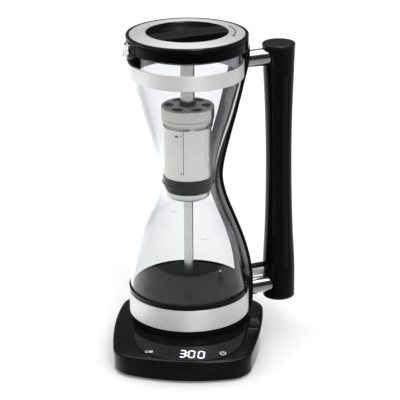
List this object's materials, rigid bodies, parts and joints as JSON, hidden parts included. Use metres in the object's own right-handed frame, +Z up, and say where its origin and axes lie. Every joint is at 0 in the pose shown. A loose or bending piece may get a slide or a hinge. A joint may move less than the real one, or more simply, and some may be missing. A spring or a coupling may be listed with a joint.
{
  "type": "single serve coffee maker",
  "caption": "Electric siphon coffee maker: hourglass glass carafe with a tall round handle, steel filter stack and lid, lifting off a flat glossy power base.",
  "frame": {"origin": "centre of the whole object's footprint, on the table it stands on", "axes": "+Z up, -Y the front with the display, +X to the right seen from the front"},
  "size_m": [0.1893, 0.182, 0.3441],
  "materials": {
    "gloss_black": "piano-black glossy moulding",
    "satin_black": "satin black moulding",
    "grip_black": "semi-gloss black moulding",
    "grip_cap": "satin charcoal",
    "inlay": "soft-touch dark insert",
    "strap_grey": "satin graphite grey",
    "brushed_steel": "fine circumferential brushing",
    "satin_steel": "satin pressed stainless steel",
    "chrome": "polished chrome",
    "plate_steel": "heat-tinted satin steel",
    "zinc": "zinc plated",
    "aluminium": "cast",
    "brass": "plain",
    "glass": "clear borosilicate",
    "smoked_lens": "smoked window, flush",
    "lit_marks": "lit white segments",
    "seal": "dark grey silicone",
    "clear_seal": "translucent silicone",
    "foot_rubber": "matte rubber",
    "board": "circuit board laminate",
    "component": "moulded component"
  },
  "bodies": {
    "base": {"base_bottom_cover": "gloss_black", "base_top_housing": "gloss_black", "display_lens": "smoked_lens", "display_module": "component", "display_digits": "lit_marks", "touch_icons": "lit_marks", "control_pcb": "board", "power_pcb": "board", "power_relay": "component", "power_transformer": "component", "base_connector": "satin_black", "connector_contacts": "brass", "cord_gland": "foot_rubber", "foot_pads": "foot_rubber", "base_screws": "zinc"},
    "carafe_coupler": {"carafe_connector": "satin_black"},
    "carafe": {"carafe_foot_shell": "satin_black", "foot_base_plate": "satin_black", "foot_screws": "zinc", "steel_trim_ring": "brushed_steel", "lower_clamp_ring": "satin_black", "plate_gasket": "clear_seal", "heating_plate": "plate_steel", "heat_spreader": "aluminium", "heating_element": "aluminium", "thermostat_block": "component", "temperature_sensor": "satin_steel", "sensor_grommet": "seal", "glass_vessel": "glass", "upper_steel_band": "brushed_steel", "upper_collar": "satin_black", "handle_strap": "strap_grey", "upper_standoff": "chrome", "lower_standoffs": "chrome", "handle_studs": "zinc", "grip_body": "grip_black", "grip_core": "zinc", "grip_top_cap": "grip_cap", "grip_bottom_cap": "grip_cap", "grip_inlays": "inlay"},
    "filter": {"filter_basket": "satin_steel", "basket_collar": "satin_steel", "basket_mesh": "satin_steel", "neck_seal": "seal", "lower_cap": "satin_steel", "siphon_tube": "satin_steel"},
    "filter_top": {"filter_cap": "satin_steel", "cap_mesh": "satin_steel", "hub_nut": "satin_black", "stem_nut": "zinc", "stem_tube": "satin_steel", "stem_plug": "satin_black"},
    "lid_seal": {"lid_gasket": "clear_seal"},
    "lid": {"lid_body": "satin_black", "lid_steel_ring": "brushed_steel", "lid_inner_cover": "satin_black", "lid_screws": "zinc"}
  },
  "joints": [
    {"name": "carafe_lift", "type": "slide", "parent": "base", "child": "carafe_coupler", "axis": [0, 0, 1], "range_m": [0, 0.06]},
    {"name": "carafe_turn", "type": "hinge", "parent": "carafe_coupler", "child": "carafe", "pos_m": [-0.01596, 0.01455, 0.04], "axis": [0, 0, 1], "continuous": true},
    {"name": "filter_lift", "type": "slide", "parent": "carafe", "child": "filter", "axis": [0, 0, 1], "range_m": [0, 0.27]},
    {"name": "cap_lift", "type": "slide", "parent": "filter", "child": "filter_top", "axis": [0, 0, 1], "range_m": [0, 0.04]},
    {"name": "lid_lift", "type": "slide", "parent": "filter_top", "child": "lid_seal", "axis": [0, 0, 1], "range_m": [0, 0.05]},
    {"name": "lid_turn", "type": "hinge", "parent": "lid_seal", "child": "lid", "pos_m": [-0.01596, 0.01455, 0.33], "axis": [0, 0, 1], "range_deg": [-40, 40]}
  ]
}
